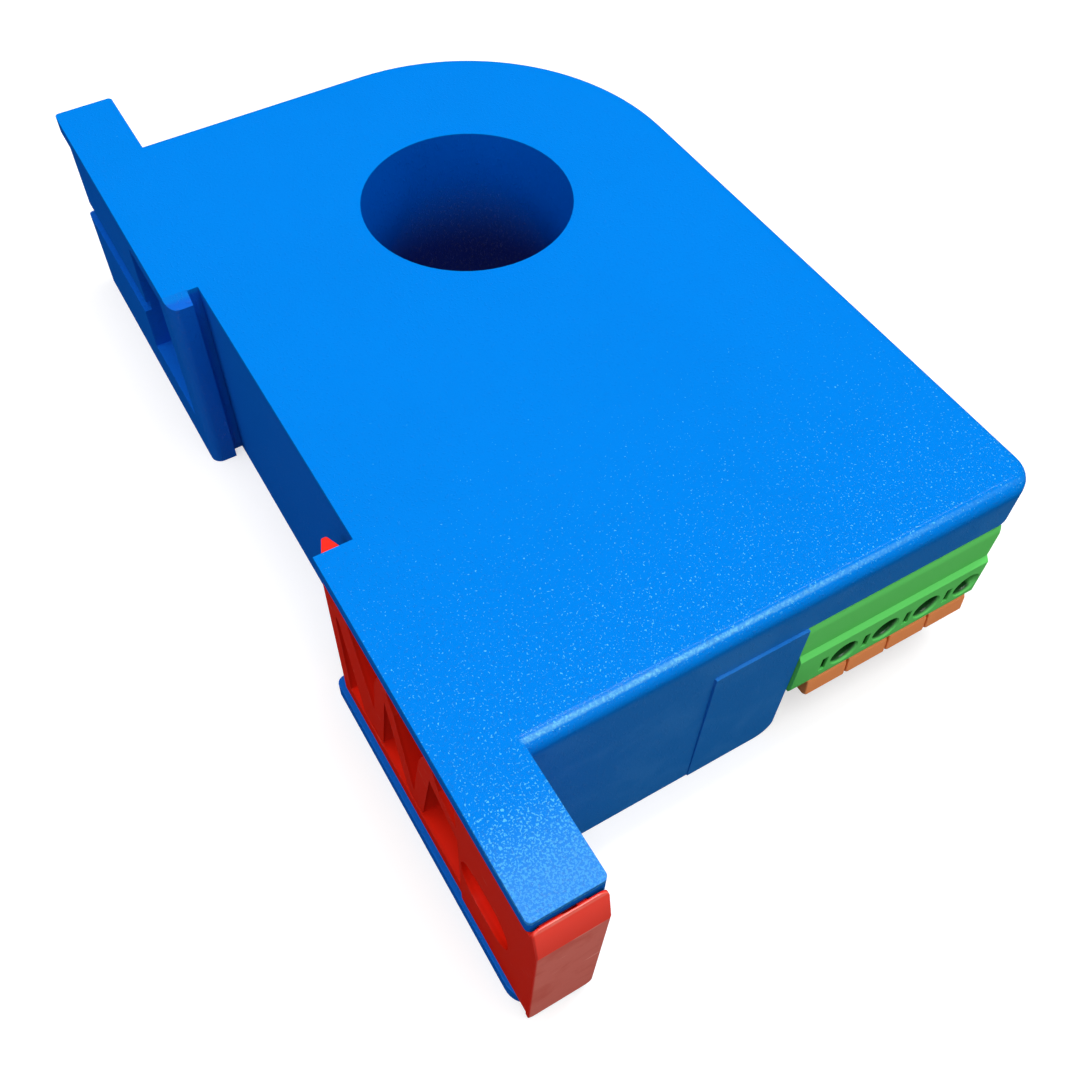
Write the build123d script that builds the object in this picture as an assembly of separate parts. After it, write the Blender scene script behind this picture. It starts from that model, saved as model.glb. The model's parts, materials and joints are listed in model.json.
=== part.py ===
from build123d import *
from math import cos, radians, sin
import os

os.makedirs("parts", exist_ok=True)

# A DIN-rail current sensor, in millimetres. The origin is on the aperture's axis, in the plane of
# the underside. +X points away from the rail, +Y towards the fixed hook, +Z along the aperture.

# Driving sizes of the case
case_height = 25.0
aperture_r = 11.6
axis_to_rail_face = 34.3
axis_to_side = 26.3
axis_to_far_wall = 27.35
axis_to_near_wall = 59.5
near_foot_reach = 11.5
far_foot_reach = 10.0
foot_width = 6.8
foot_corner_r = 0.5
wall = 1.8
top_wall = 2.0
tube_wall = 1.6
web = 1.6
near_corner_r = 3.0
top_edge_r = 1.5
cover_thickness = 2.0
seam = 0.15
over = 1.0

# Driving sizes of the rail notch and its fixed hook
rail_lip = 1.0
rail_lip_clearance = 0.15
hook_thickness = 2.65
hook_reach = 1.1
hook_bevel = 1.3
hook_lead_r = 1.2
axis_to_hook_groove = 1.5
rail_slot = 36.5

# Driving sizes of the far foot's pocket
hook_rib = 2.3
pocket_length = 12.8
pocket_floor = 5.4
panel_recess = 0.45
panel_step_height = 11.0
panel_groove = 1.3
panel_groove_depth = 0.4
panel_wall = 1.5

# Driving sizes of the latch and its channel
channel_plate = 1.5
channel_lip = 0.5
channel_lip_width = 0.8
tongue_proud = 0.25
tongue_setback = 0.5
tongue_overrun = 1.2
tongue_corner_r = 0.9
tongue_end_r = 2.2
latch_clearance = 0.15
latch_face_gap = 0.1
latch_back_gap = 0.25
latch_cap_gap = 0.2
latch_cap_depth = 0.95
latch_cap_edge = 0.2
latch_cap_foot = 0.35
latch_cap_drop = 1.1
latch_cap_chamfer = 3.7
latch_cap_inset = 0.2
latch_cap_corner_r = 0.8
latch_block_length = 11.1
latch_rail_height = 2.2
latch_nose_block = 1.7
latch_nose_gap = 0.2
latch_nose_inset = 0.4
latch_nose_reach = 2.95
latch_nose_tip = 1.45
latch_nose_flat = 0.5
latch_nose_rounding = 0.2
latch_travel = 3.2
spring_band = 1.9
spring_recess = 0.2
spring_crowns = (5.0, 13.25)
spring_feet = (9.1, 17.15)
spring_crown_width = 1.8
spring_shoulder = 2.2
spring_foot_width = 1.3
spring_start = 14.5
spring_top_gap = 1.7
spring_bottom_gap = 0.7
spring_root_rise = 5.6
spring_root_foot = 2.45
spring_root_setback = 3.0
spring_root_gap = 0.7
spring_root_corner = 3.1
grip_length = 7.8
grip_height = 6.3
grip_depth = 2.3
grip_setback = 2.9
grip_drop = 1.2
driver_slot_width = 1.3
driver_slot_depth = 1.6
stop_peg_r = 1.1
stop_peg_height = 1.0

# Driving sizes of the raised pad and the plug pocket
pad_width = 10.0
pad_proud_top = 0.3
pad_proud_bottom = 0.12
pad_corner_r = 2.0
side_to_plug = 2.28
pocket_height = 19.3
pocket_depth = 14.5
pocket_wall = 1.6

# Driving sizes of the plug and its header
poles = 4
pitch = 5.08
plug_side_gap = 0.2
plug_top_gap = 0.3
plug_left_margin = 2.35
plug_right_margin = 0.1
plug_bottom = 5.2
plug_edge = 0.6
lever_height = 2.7
lever_gap = 0.28
lever_length = 9.0
lever_travel = 1.2
lever_proud = 0.68
lever_clearance = 0.2
lever_edge = 0.4
stem_width = 1.6
stem_setback = 5.3
stem_clearance = 0.3
stem_head_width = 2.6
stem_head_height = 0.9
facet_proud = 0.12
ridge_proud = 0.55
ridge_height = 13.7
wire_offset = 0.95
wire_height = 10.8
wire_r = 1.35
funnel_r = 1.65
funnel_depth = 0.6
test_slot_offset = 1.5
test_slot_width = 0.7
test_slot_height = 2.2
test_slot_depth = 2.4
chamber_floor = 0.6
chamber_start = 4.2
chamber_end = 13.2
chamber_width = 3.7
chamber_shift = 0.25
contact_height = 11.9
contact_setback = 5.2
pin_size = 1.0
pin_clearance = 0.2
contact_sheet = 0.5
clamp_sheet = 0.4
clamp_side = 0.4
clamp_setback = 0.8
clamp_foot = 1.7
clamp_reach = 4.2
clamp_bend_r = 0.35
tongue_length = 7.7
tongue_half_height = 4.0
tongue_side = 1.7
shroud_clearance = 0.2
shroud_wall = 0.9
header_depth = 12.0
header_back = 3.6
pin_reach = 6.9
pin_tail = 1.0

# Driving sizes of the board and the magnetic parts
board_thickness = 1.6
board_lift = 1.4
board_margin = 0.3
core_inner_r = 14.3
core_outer_r = 20.8
core_edge = 0.4
core_gap = 3.0
pad_thickness = 1.6
pad_inset = 0.7
holder_wall = 0.6
holder_floor = 1.35
holder_skirt = 7.0
holder_peg_r = 1.0
holder_peg_setback = 0.4
running_gap = 0.05
hall_width = 4.1
hall_height = 3.2
hall_thickness = 1.6
lead_size = 0.45
lead_pitch = 1.27
lead_tail = 0.8
post_r = 2.2
post_clearance = 0.6

# Driving sizes of the parts on the board
part_gap = 1.1
can_base = 8.3
can_base_height = 1.0
can_base_chamfer = 1.2
can_r = 4.0
can_height = 9.2
can_edge_r = 0.5
coil_size = 6.0
coil_height = 4.0
coil_corner_r = 1.0
chip_width = 3.9
chip_length = 4.9
chip_height = 1.6
chip_lead_count = 4
chip_pitch = 1.27
controller_width = 4.4
controller_length = 5.0
controller_height = 1.1
controller_lead_count = 7
controller_pitch = 0.65
wing_reach = 1.0
wing_width = 0.4
wing_sheet = 0.2
chip_lift = 0.15
diode_width = 4.3
diode_length = 3.6
diode_height = 2.2
small_parts = 4
resistor_width = 1.25
resistor_height = 0.5
ceramic_width = 1.3
ceramic_height = 0.9
small_length = 2.0

# Places that follow from the sizes
rail_x = -axis_to_rail_face
side_x = axis_to_side
far_y = axis_to_far_wall
near_y = -axis_to_near_wall
near_foot_y = near_y - near_foot_reach
far_foot_y = far_y + far_foot_reach
foot_x = rail_x + foot_width
web_x = foot_x - web
floor_x = rail_x + hook_thickness + rail_lip_clearance + rail_lip
groove_y = axis_to_hook_groove
latch_wall_y = groove_y - rail_slot
case_top = case_height
inner_top = case_height - top_wall
tube_r = aperture_r + tube_wall
reach = 2.0 * case_height


def block(x0, x1, y0, y1, z0, z1):
    """A box between two corners."""
    size = Box(x1 - x0, y1 - y0, z1 - z0)
    return Pos((x0 + x1) / 2, (y0 + y1) / 2, (z0 + z1) / 2) * size


def upright(x, y, z0, z1, radius):
    """A cylinder along Z."""
    return Pos(x, y, (z0 + z1) / 2) * Cylinder(radius, z1 - z0)


def across(y, z, x0, x1, radius):
    """A cylinder along X."""
    return Pos((x0 + x1) / 2, y, z) * Rot(0, 90, 0) * Cylinder(radius, x1 - x0)


def plan_prism(points, z0, z1):
    """A closed outline in plan, raised from z0 to z1."""
    return Pos(0, 0, z0) * extrude(make_face(Polyline(*points, close=True)), z1 - z0)


def side_prism(points, x0, x1):
    """A closed outline of (y, z) points, carried along X from x0 to x1."""
    outline = Plane.YZ * make_face(Polyline(*points, close=True))
    return Pos(x0, 0, 0) * extrude(outline, x1 - x0)


def body_plan(inset):
    """The body's plan, moved in by inset: a rectangle whose far right corner is one large arc."""
    x0 = floor_x + inset
    x1 = side_x - inset
    y0 = near_y + inset
    y1 = far_y - inset
    arc = x1
    corner = max(near_corner_r - inset, foot_corner_r)
    diagonal = cos(radians(45))
    edges = [
        Line((x0, y0), (x1 - corner, y0)),
        ThreePointArc(
            (x1 - corner, y0),
            (x1 - corner + corner * diagonal, y0 + corner - corner * diagonal),
            (x1, y0 + corner),
        ),
        Line((x1, y0 + corner), (x1, y1 - arc)),
        ThreePointArc(
            (x1, y1 - arc),
            (arc * diagonal, y1 - arc + arc * diagonal),
            (0, y1),
        ),
        Line((0, y1), (x0, y1)),
        Line((x0, y1), (x0, y0)),
    ]
    return make_face(edges)


def pole_x(index):
    """The middle of one pole of the plug and header."""
    return lever_band_x + pitch * (index + 0.5)


# Places of the plug and header
plug_x1 = side_x - side_to_plug
lever_band_x = plug_x1 - plug_right_margin - poles * pitch
plug_x0 = lever_band_x - plug_left_margin
pocket_x = plug_x0 - plug_side_gap
pocket_y = near_y + pocket_depth
pocket_back_y = pocket_y + pocket_wall
plug_top = pocket_height - plug_top_gap
plug_rear_y = pocket_y - plug_side_gap
body_floor = plug_bottom + lever_height + lever_clearance
lever_top = plug_bottom + lever_height
tongue_x0 = pole_x(0) - tongue_side
tongue_x1 = pole_x(poles - 1) + tongue_side
tongue_end_y = plug_rear_y + tongue_length
shroud_x0 = tongue_x0 - shroud_clearance - shroud_wall
shroud_x1 = tongue_x1 + shroud_clearance + shroud_wall
shroud_top = contact_height + tongue_half_height + shroud_clearance + shroud_wall
header_rear_y = pocket_y + header_depth
header_floor_y = header_rear_y - header_back
board_bottom = cover_thickness + board_lift
board_top = board_bottom + board_thickness

# Places of the latch
latch_x0 = rail_x + latch_face_gap
latch_x1 = web_x - latch_back_gap
latch_low = cover_thickness + latch_clearance
latch_high = case_top - channel_plate - channel_lip - latch_clearance
latch_deep_low = cover_thickness - channel_lip + latch_clearance
latch_deep_high = case_top - channel_plate - latch_clearance
latch_deep_x = rail_x + channel_lip_width + latch_clearance
latch_end_y = near_foot_y - latch_cap_gap
block_end_y = near_foot_y + latch_block_length
nose_y = latch_wall_y - latch_nose_gap
stop_peg_y = near_foot_y + 0.45 * latch_block_length
stop_peg_z = case_height / 2

# Places of the magnetic parts
holder_bottom = board_top
holder_r = core_outer_r + running_gap + holder_wall
core_bottom = holder_bottom + holder_floor + running_gap
core_top = inner_top - pad_thickness
core_middle_z = (core_bottom + core_top) / 2
core_middle_r = (core_inner_r + core_outer_r) / 2
far_post = (holder_r + post_clearance + post_r) * cos(radians(45))
post_places = [
    (foot_x + wall + post_r, pocket_y + wall + 2 * post_r),
    (side_x - wall - post_clearance - post_r, -core_outer_r - 2 * post_r),
    (foot_x + wall + post_r, far_y - wall - post_clearance - post_r),
    (far_post, far_post),
]

# Places of the parts on the board: columns from the rail side, rows from the header and the core
column_step = can_base + part_gap
columns = [foot_x + wall + part_gap / 2 + can_base / 2 + column_step * index for index in range(5)]
core_row_y = (header_rear_y - core_outer_r) / 2
header_row_y = header_rear_y - can_base / 2 - part_gap
resistor_step = resistor_width + part_gap
ceramic_step = ceramic_width + part_gap
resistor_x = columns[0] - can_base / 2 + resistor_width / 2
resistor_y = core_row_y + can_base / 2 + part_gap + small_length / 2
controller_x = shroud_x0 - part_gap - wing_reach - controller_width / 2
ceramic_x = shroud_x0 - part_gap - ceramic_width / 2 - ceramic_step * (small_parts - 1)
ceramic_y = (core_row_y + header_row_y) / 2


def body_shell():
    """The body with its rounded top edge, hollowed from below."""
    shell = extrude(body_plan(0), case_height)
    top_edges = shell.edges().group_by(Axis.Z)[-1]
    rounded = top_edges.filter_by(lambda edge: edge.center().X > floor_x + wall)
    shell = fillet(rounded, top_edge_r)
    return shell - extrude(body_plan(wall), inner_top)


def near_foot():
    """The foot bar that holds the latch: a top plate with a lip, and a web behind the channel."""
    foot = block(rail_x, foot_x, near_foot_y, latch_wall_y, 0, case_top)
    ends = foot.edges().filter_by(Axis.Z).group_by(Axis.Y)[0]
    foot = fillet(ends, foot_corner_r)
    channel_top = case_top - channel_plate
    foot -= block(
        rail_x + channel_lip_width, web_x, near_foot_y - wall, latch_wall_y, -wall, channel_top
    )
    foot -= block(
        rail_x - wall,
        rail_x + channel_lip_width,
        near_foot_y - wall,
        latch_wall_y,
        -wall,
        channel_top - channel_lip,
    )
    foot -= block(
        rail_x - wall, foot_x, near_foot_y - wall, latch_wall_y, -wall, cover_thickness + seam
    )
    return foot


def channel_void():
    """What the latch channel takes out of the body."""
    lower = cover_thickness + seam
    void = block(
        rail_x + channel_lip_width, web_x, near_y - wall, latch_wall_y, -wall, case_top - channel_plate
    )
    return void + block(rail_x, foot_x, near_y, latch_wall_y, -wall, lower)


def far_foot():
    """The foot bar with the fixed hook, its open pocket and its hollow end panel."""
    foot = block(rail_x, foot_x, groove_y, far_foot_y, 0, case_top)
    ends = foot.edges().filter_by(Axis.Z).group_by(Axis.Y)[-1]
    foot = fillet(ends, foot_corner_r)
    hook_y = groove_y - hook_reach
    hook = block(rail_x, rail_x + hook_thickness, hook_y, groove_y + wall, 0, case_top)
    lead = hook.edges().filter_by(Axis.Z).group_by(Axis.Y)[0].sort_by(Axis.X)[0]
    hook = fillet(lead, hook_lead_r)
    bevel = [
        (hook_y - wall, case_top - hook_reach),
        (hook_y, case_top - hook_reach),
        (hook_y + hook_bevel, case_top),
        (hook_y + hook_bevel, case_top + wall),
        (hook_y - wall, case_top + wall),
    ]
    hook -= side_prism(bevel, rail_x - wall, rail_x + hook_thickness)
    foot += hook
    foot -= side_prism(bevel, rail_x - wall, rail_x + hook_thickness)
    pocket_y0 = groove_y + hook_rib
    pocket_y1 = pocket_y0 + pocket_length
    foot -= block(rail_x - wall, web_x, pocket_y0, pocket_y1, pocket_floor, inner_top)
    foot -= block(
        rail_x - wall,
        rail_x + panel_recess,
        pocket_y1,
        far_foot_y + wall,
        panel_step_height,
        inner_top,
    )
    foot -= block(
        rail_x - wall,
        rail_x + panel_recess + panel_groove_depth,
        pocket_y1,
        far_foot_y + wall,
        panel_step_height,
        panel_step_height + panel_groove,
    )
    foot -= block(
        rail_x + panel_recess + panel_wall,
        web_x,
        pocket_y1 + panel_wall,
        far_foot_y - panel_wall,
        -wall,
        inner_top - panel_wall,
    )
    return foot


def pad():
    """The raised pad beside the plug: proud at its top, almost flush at the underside."""
    outline = [
        (near_y + wall / 2, 0),
        (near_y - pad_proud_bottom, 0),
        (near_y - pad_proud_top, pocket_height),
        (near_y + wall / 2, pocket_height),
    ]
    return side_prism(outline, pocket_x - pad_width, pocket_x)


def plug_pocket_walls():
    """The ceiling, the left wall and the back wall of the plug pocket."""
    walls = block(
        pocket_x - pocket_wall,
        side_x - wall,
        near_y + wall,
        pocket_back_y,
        0,
        pocket_height + pocket_wall,
    )
    return walls & extrude(body_plan(wall / 2), case_height)


def plug_pocket_void():
    """The plug pocket, open at the near wall, the side and the underside, and the header's gate."""
    void = block(
        pocket_x, side_x + reach, near_y - reach, pocket_y, -reach, pocket_height
    )
    gate = block(
        shroud_x0 - seam, side_x - wall, pocket_y - wall, pocket_back_y + wall, -reach, shroud_top + seam
    )
    return void + gate


def pad_corner_cut():
    """What rounds the lower corner between the pad and the pocket."""
    corner = block(
        pocket_x - pad_corner_r, pocket_x + wall, near_y - wall, near_y + wall, -wall, pad_corner_r
    )
    rod = Rot(90, 0, 0) * Cylinder(pad_corner_r, 4 * wall)
    return corner - Pos(pocket_x - pad_corner_r, near_y, pad_corner_r) * rod


def main_housing():
    housing = body_shell()
    housing += plug_pocket_walls()
    housing -= channel_void()
    housing += near_foot()
    housing += far_foot()
    web_low = cover_thickness + seam
    inner_web = block(web_x, foot_x, near_y, latch_wall_y + wall, web_low, inner_top)
    end_web = block(floor_x, foot_x, latch_wall_y, latch_wall_y + wall, web_low, inner_top)
    far_web = block(web_x, foot_x, groove_y - wall, far_y - wall / 2, 0, inner_top)
    housing += inner_web + end_web + far_web
    housing += pad()
    housing += upright(0, 0, 0, inner_top + wall / 2, tube_r)
    for x, y in post_places:
        post = upright(x, y, board_top + running_gap, inner_top + wall / 2, post_r)
        housing += post & extrude(body_plan(wall / 2), case_height)
    peg = across(stop_peg_y, stop_peg_z, web_x - stop_peg_height, web_x + web / 2, stop_peg_r)
    housing += peg
    housing -= plug_pocket_void()
    housing -= pad_corner_cut()
    housing -= upright(0, 0, -wall, case_top + wall, aperture_r)
    return housing


def outer_upright_edges(tongue):
    """The tongue's upright edges outside the rail face, in groups from its near end."""
    upright_edges = tongue.edges().filter_by(Axis.Z)
    return upright_edges.filter_by(lambda edge: edge.center().X < rail_x).group_by(Axis.Y)


def rear_cover():
    """The underside plate, let into the case, with the tongue that closes the latch channel."""
    plate = extrude(body_plan(wall + seam), cover_thickness)
    plate -= block(rail_x, foot_x + seam, groove_y - wall - seam, far_y, -wall, reach)
    tongue_x0 = rail_x - tongue_proud
    tongue_y0 = near_foot_y + tongue_setback
    tongue_y1 = latch_wall_y + tongue_overrun
    tongue = block(tongue_x0, foot_x, tongue_y0, near_y, 0, cover_thickness)
    tongue += block(tongue_x0, foot_x - seam, near_y - wall, latch_wall_y, 0, cover_thickness)
    tongue += block(tongue_x0, floor_x - seam, latch_wall_y - wall, tongue_y1, 0, cover_thickness)
    tongue = fillet(outer_upright_edges(tongue)[-1], tongue_corner_r)
    tongue = fillet(outer_upright_edges(tongue)[0], tongue_end_r)
    joint = block(
        foot_x - 2 * seam, foot_x + wall, near_y + wall + seam, latch_wall_y, 0, cover_thickness
    )
    plate += tongue + joint
    plate -= block(
        rail_x + channel_lip_width,
        web_x,
        tongue_y0 - wall,
        latch_wall_y,
        cover_thickness - channel_lip,
        cover_thickness + wall,
    )
    plate -= block(
        pocket_x - pocket_wall - seam, reach, near_y - wall, pocket_back_y + seam, -wall, reach
    )
    plate += block(
        shroud_x0, side_x - wall - seam, pocket_y + seam, pocket_back_y + 2 * seam, 0, board_top - seam
    )
    plate -= upright(0, 0, -wall, reach, tube_r + seam)
    plate -= block(
        shroud_x0 - wall, side_x, pocket_back_y + seam, pocket_back_y + wall, cover_thickness, reach
    )
    for x, y in post_places:
        peg = upright(x, y, cover_thickness / 2, board_bottom, post_r)
        plate += peg & extrude(body_plan(wall + 2 * seam), case_height)
    return plate


def spring_path():
    """The middle line of the zigzag spring: arches and feet, from the end block on."""
    low_z = latch_low + latch_rail_height + spring_bottom_gap + spring_band / 2
    high_z = latch_high - spring_top_gap - spring_band / 2
    points = [(block_end_y - spring_band, spring_start)]
    for crown, foot in zip(spring_crowns, spring_feet):
        crown_y = block_end_y + crown
        points.append((crown_y - spring_crown_width / 2, high_z - spring_shoulder))
        points.append((crown_y, high_z))
        points.append((crown_y + spring_crown_width / 2, high_z - spring_shoulder))
        foot_y = block_end_y + foot
        points.append((foot_y - spring_foot_width / 2, low_z))
        points.append((foot_y + spring_foot_width / 2, low_z))
    return points


def zigzag_spring(x0, x1):
    """The band of the spring: each run of the path as a bar, each corner as a round."""
    points = spring_path()
    half = spring_band / 2
    band = None
    for start, end in zip(points, points[1:]):
        length = ((end[0] - start[0]) ** 2 + (end[1] - start[1]) ** 2) ** 0.5
        side_y = -(end[1] - start[1]) / length * half
        side_z = (end[0] - start[0]) / length * half
        corners = [
            (start[0] + side_y, start[1] + side_z),
            (end[0] + side_y, end[1] + side_z),
            (end[0] - side_y, end[1] - side_z),
            (start[0] - side_y, start[1] - side_z),
        ]
        bar = side_prism(corners, x0, x1)
        band = bar if band is None else band + bar
    for y, z in points[1:]:
        band += across(y, z, x0, x1, half)
    return band


def spring_root(x0, x1):
    """The spring's last run, wider at its foot, and the corner it forms with the nose block."""
    low = latch_low + latch_rail_height + spring_bottom_gap
    high = latch_high - spring_top_gap
    foot_y = block_end_y + spring_feet[-1]
    nose_inner_y = nose_y - latch_nose_block
    outline = [
        (foot_y - spring_foot_width / 2, low),
        (foot_y - spring_foot_width / 2, low + spring_root_rise),
        (nose_inner_y - spring_root_setback, high),
        (nose_y, high),
        (nose_y, high - spring_root_corner),
        (nose_inner_y - spring_root_gap, high - spring_root_corner),
        (foot_y + spring_root_foot, low),
    ]
    return side_prism(outline, x0, x1)


def latch_section(y0, y1):
    """The latch's full section, which fills the channel behind the lips."""
    shallow = block(latch_x0, latch_x1, y0, y1, latch_low, latch_high)
    return shallow + block(latch_deep_x, latch_x1, y0, y1, latch_deep_low, latch_deep_high)


def latch_cap():
    """The thumb end outside the foot, chamfered above and leaning back below."""
    back_y = latch_end_y
    front_y = latch_end_y - latch_cap_depth
    low_z = cover_thickness / 3
    top_z = case_top - latch_cap_drop
    outline = [
        (back_y, low_z),
        (back_y - latch_cap_foot, low_z),
        (front_y, top_z - latch_cap_chamfer),
        (back_y - latch_cap_edge, top_z),
        (back_y, top_z),
    ]
    cap_x1 = foot_x - latch_cap_inset
    cap = side_prism(outline, latch_x0, cap_x1)
    rounded = block(latch_x0, cap_x1, front_y - wall, back_y + wall, low_z, top_z)
    return cap & fillet(rounded.edges().filter_by(Axis.Y), latch_cap_corner_r)


def latch_nose():
    """The wedge that snaps behind the rail, rounded at its tip."""
    base_y = nose_y - running_gap
    tip_x = floor_x - latch_nose_tip
    tip_y = latch_wall_y + latch_nose_reach
    outline = [
        (rail_x + latch_nose_inset, base_y),
        (floor_x - latch_clearance, base_y),
        (tip_x, tip_y),
        (tip_x - latch_nose_flat, tip_y),
    ]
    nose = plan_prism(outline, latch_low, latch_high)
    tip_edges = nose.edges().filter_by(Axis.Z).sort_by(Axis.Y)[-2:]
    return fillet(tip_edges, latch_nose_rounding)


def grip_pocket():
    """The blind oval pocket in the end block's outer face."""
    grip_y = near_foot_y + grip_setback
    grip_z = case_height / 2 - grip_drop
    pocket = block(
        rail_x - wall,
        latch_x0 + grip_depth,
        grip_y,
        grip_y + grip_length,
        grip_z - grip_height / 2,
        grip_z + grip_height / 2,
    )
    return fillet(pocket.edges().filter_by(Axis.X), 0.45 * grip_height)


def rail_latch():
    latch = latch_section(latch_end_y - running_gap, nose_y)
    latch -= block(
        rail_x - wall, latch_x0 + spring_recess, block_end_y, nose_y + wall, latch_low, case_top
    )
    rail_top = latch_low + latch_rail_height
    latch -= block(
        rail_x - wall, web_x, block_end_y, nose_y - latch_nose_block, rail_top, case_top
    )
    latch += zigzag_spring(latch_x0 + spring_recess, latch_x1)
    latch += spring_root(latch_x0 + spring_recess, latch_x1)
    latch += latch_cap() + latch_nose()
    latch -= grip_pocket()
    latch -= block(
        latch_x1 - stop_peg_height,
        web_x,
        stop_peg_y - stop_peg_r - latch_clearance,
        stop_peg_y + stop_peg_r + latch_travel + latch_clearance,
        stop_peg_z - stop_peg_r - latch_clearance,
        stop_peg_z + stop_peg_r + latch_clearance,
    )
    driver_x = rail_x + hook_thickness + latch_clearance
    latch -= block(
        driver_x,
        driver_x + driver_slot_width,
        latch_end_y - running_gap,
        near_foot_y + wall,
        latch_high - driver_slot_depth,
        case_top,
    )
    return latch


def plug_body():
    front = near_y
    rise = plug_edge
    lever_room_y = front + lever_length + lever_travel + 2 * lever_clearance
    outline = [
        (plug_rear_y, plug_top),
        (front + rise, plug_top),
        (front + 0.2 * rise, plug_top - 0.4 * rise),
        (front, plug_top - rise),
        (front - facet_proud, plug_top - 2 * rise),
        (front - facet_proud, ridge_height + rise),
        (front - ridge_proud, ridge_height),
        (front - ridge_proud, body_floor + rise),
        (front - ridge_proud + 0.4 * rise, body_floor),
        (lever_room_y, body_floor),
        (lever_room_y, plug_bottom + lever_clearance),
        (plug_rear_y, plug_bottom + lever_clearance),
    ]
    body = side_prism(outline, plug_x0, plug_x1)
    body += block(
        tongue_x0,
        tongue_x1,
        plug_rear_y - over,
        tongue_end_y,
        contact_height - tongue_half_height,
        contact_height + tongue_half_height,
    )
    for index in range(poles):
        body -= pole_void(pole_x(index))
    return body


def chamber_x(middle):
    """The two sides of a pole's chamber: it is set over towards the wire's side."""
    start = middle - chamber_width / 2 + chamber_shift
    return start, start + chamber_width


def pole_void(middle):
    """One pole's wire funnel and bore, test slot, chamber, contact way and lever slot."""
    x0, x1 = chamber_x(middle)
    wire_x = middle + wire_offset
    start_y = near_y + chamber_start
    face_y = near_y - ridge_proud
    bore_length = start_y - face_y + over
    bore = Pos(wire_x, face_y + bore_length / 2, wire_height) * Rot(90, 0, 0)
    bore = bore * Cylinder(wire_r, bore_length)
    funnel = Pos(wire_x, face_y - running_gap + funnel_depth / 2, wire_height) * Rot(90, 0, 0)
    funnel = funnel * Cone(wire_r, funnel_r, funnel_depth)
    void = bore + funnel
    slot_x = middle - test_slot_offset
    void += block(
        slot_x - test_slot_width / 2,
        slot_x + test_slot_width / 2,
        face_y - over,
        face_y + test_slot_depth,
        wire_height - test_slot_height / 2,
        wire_height + test_slot_height / 2,
    )
    floor_z = body_floor + chamber_floor
    ceiling_z = contact_height + pin_size / 2 + pin_clearance + contact_sheet + pin_clearance
    void += block(x0, x1, start_y, near_y + chamber_end, floor_z, ceiling_z)
    way = pin_size / 2 + pin_clearance + contact_sheet + pin_clearance
    void += block(
        middle - way,
        middle + way,
        near_y + chamber_end - over,
        tongue_end_y + over,
        contact_height - way,
        contact_height + way,
    )
    stem_half = stem_width / 2 + lever_clearance
    stem_y0 = near_y + stem_setback - stem_clearance
    stem_y1 = near_y + stem_setback + stem_width + lever_travel + stem_clearance
    void += block(middle - stem_half, middle + stem_half, stem_y0, stem_y1, body_floor - over, ceiling_z)
    return void


def push_lever(index):
    """A flat bar with a stem up through the plug's floor and a head that keeps it in."""
    middle = pole_x(index)
    x0 = middle - pitch / 2 + lever_gap / 2
    x1 = middle + pitch / 2 - lever_gap / 2
    front_y = near_y - lever_proud
    outline = [
        (front_y + lever_edge, lever_top),
        (front_y + lever_edge / 2, lever_top - lever_edge),
        (front_y, plug_bottom + lever_edge),
        (front_y + lever_edge, plug_bottom),
        (near_y + lever_length, plug_bottom),
        (near_y + lever_length, lever_top),
    ]
    lever = side_prism(outline, x0, x1)
    floor_z = body_floor + chamber_floor
    head_top = floor_z + stem_head_height
    stem_y0 = near_y + stem_setback
    stem_y1 = stem_y0 + stem_width
    half = stem_width / 2
    head_half = stem_head_width / 2
    lever += block(middle - half, middle + half, stem_y0, stem_y1, lever_top - over, head_top)
    return lever + block(
        middle - head_half, middle + head_half, stem_y0, stem_y1, floor_z + running_gap, head_top
    )


def plug_contact(index):
    """A flat bar over the wire and a square sleeve round the header's pin."""
    middle = pole_x(index)
    x0, x1 = chamber_x(middle)
    inner = pin_size / 2 + pin_clearance
    outer = inner + contact_sheet
    inner_z = contact_height + inner
    top = contact_height + outer
    sleeve_y = near_y + chamber_end
    bar = block(
        x0 + pin_clearance,
        x1 - pin_clearance,
        near_y + contact_setback,
        sleeve_y - pin_clearance,
        inner_z,
        top,
    )
    neck = block(middle - outer, middle + outer, sleeve_y - over, sleeve_y + over, inner_z, top)
    sleeve = block(
        middle - outer,
        middle + outer,
        sleeve_y + pin_clearance,
        tongue_end_y - 2 * pin_clearance,
        contact_height - outer,
        top,
    )
    sleeve -= block(
        middle - inner,
        middle + inner,
        sleeve_y - over,
        tongue_end_y + over,
        contact_height - inner,
        inner_z,
    )
    return bar + neck + sleeve


def clamp_spring(index):
    """A bent strip: a foot behind, a bend on the floor and a leg rising to the contact bar."""
    middle = pole_x(index)
    x0, x1 = chamber_x(middle)
    floor_z = body_floor + chamber_floor
    half = clamp_sheet / 2
    ceiling_z = contact_height + pin_size / 2 + pin_clearance - half
    rear_y = near_y + chamber_end - clamp_setback
    low_z = floor_z + half + running_gap
    points = [
        (rear_y, ceiling_z - running_gap),
        (rear_y, floor_z + 3 * half),
        (rear_y - 3 * half, low_z),
        (rear_y - clamp_foot, low_z),
        (rear_y - clamp_reach, ceiling_z - running_gap),
    ]
    strip = FilletPolyline(*points, radius=clamp_bend_r)
    band = Plane.YZ * make_face(offset(strip, half))
    return Pos(x0 + clamp_side, 0, 0) * extrude(band, x1 - x0 - 2 * clamp_side)


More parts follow.
